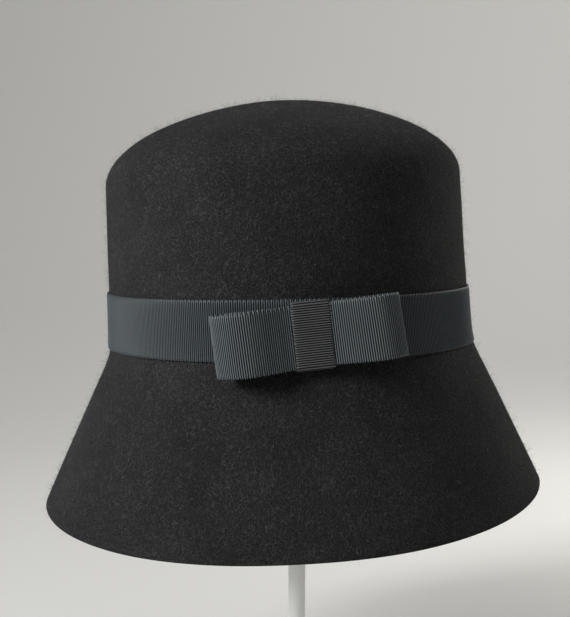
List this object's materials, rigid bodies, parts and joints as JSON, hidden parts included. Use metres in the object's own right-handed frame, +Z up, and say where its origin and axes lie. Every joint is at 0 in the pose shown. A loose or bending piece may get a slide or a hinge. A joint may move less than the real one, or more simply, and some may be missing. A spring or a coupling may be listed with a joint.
{
  "type": "cloche hat on a hat stand",
  "caption": "Felt cloche hat with a domed crown, a brim that flares down all round, a ribbon band and a flat front bow, on a plain round-footed stand.",
  "frame": {"origin": "centre of the underside of the stand's foot", "axes": "+Z up along the stand's post; -Y is the hat's front, where the bow is; +X is to the right of someone who faces the bow"},
  "size_m": [0.231, 0.261, 0.2948],
  "materials": {
    "felt": "matt black wool felt with short loose fibres",
    "ribbon": "ribbed grosgrain, slate blue-black, slight sheen",
    "stand_paint": "satin white paint"
  },
  "bodies": {
    "root": {"felt_body": "felt", "ribbon_band": "ribbon", "bow_ribbon": "ribbon", "bow_knot": "ribbon", "stand_base": "stand_paint", "stand_post": "stand_paint", "stand_cap": "stand_paint"}
  },
  "joints": []
}
